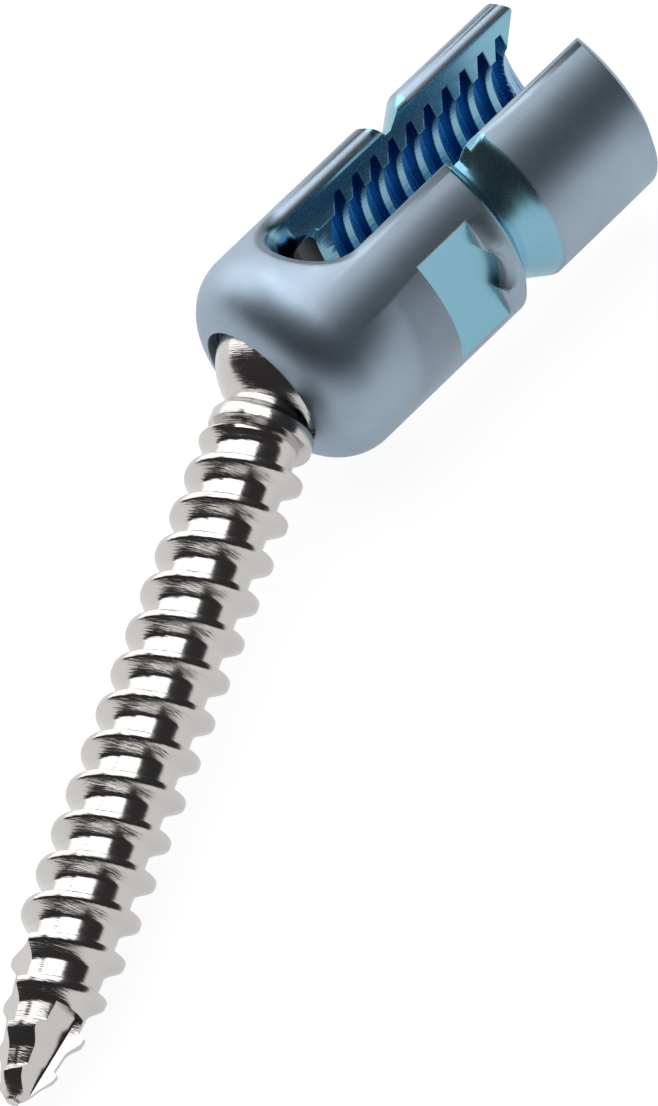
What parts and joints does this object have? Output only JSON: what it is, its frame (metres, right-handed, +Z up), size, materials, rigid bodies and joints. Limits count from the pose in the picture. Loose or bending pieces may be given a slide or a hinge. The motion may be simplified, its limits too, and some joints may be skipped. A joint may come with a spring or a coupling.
{
  "type": "pedicle screw",
  "caption": "Polyaxial bone screw: threaded shank with a ball end held in a slotted tulip head whose long arms break off above a groove.",
  "frame": {"origin": "on the surface it lies on, under the middle of its bounding box", "axes": "+Z up as it lies at rest; +X from the screw's tip towards the head's open end; the rod would pass close to Z"},
  "size_m": [0.0674, 0.0262, 0.0138],
  "materials": {
    "anodised_titanium": "satin, blue-grey anodised titanium",
    "inner_titanium": "machined titanium",
    "polished_titanium": "polished titanium"
  },
  "bodies": {
    "head": {"tulip": "anodised_titanium", "pressure_cap": "inner_titanium"},
    "ring": {"retaining_ring": "inner_titanium"},
    "screw": {"bone_screw": "polished_titanium"}
  },
  "joints": [
    {"name": "head_spin", "type": "hinge", "parent": "head", "child": "ring", "pos_m": [0.0095, 0.00624, 0.00695], "axis": [0.9998, 0, -0.0192], "continuous": true},
    {"name": "head_tilt", "type": "hinge", "parent": "ring", "child": "screw", "pos_m": [0.0095, 0.00624, 0.00695], "axis": [0.0184, -0.2823, 0.9591], "range_deg": [-51.3, 2.7]}
  ]
}
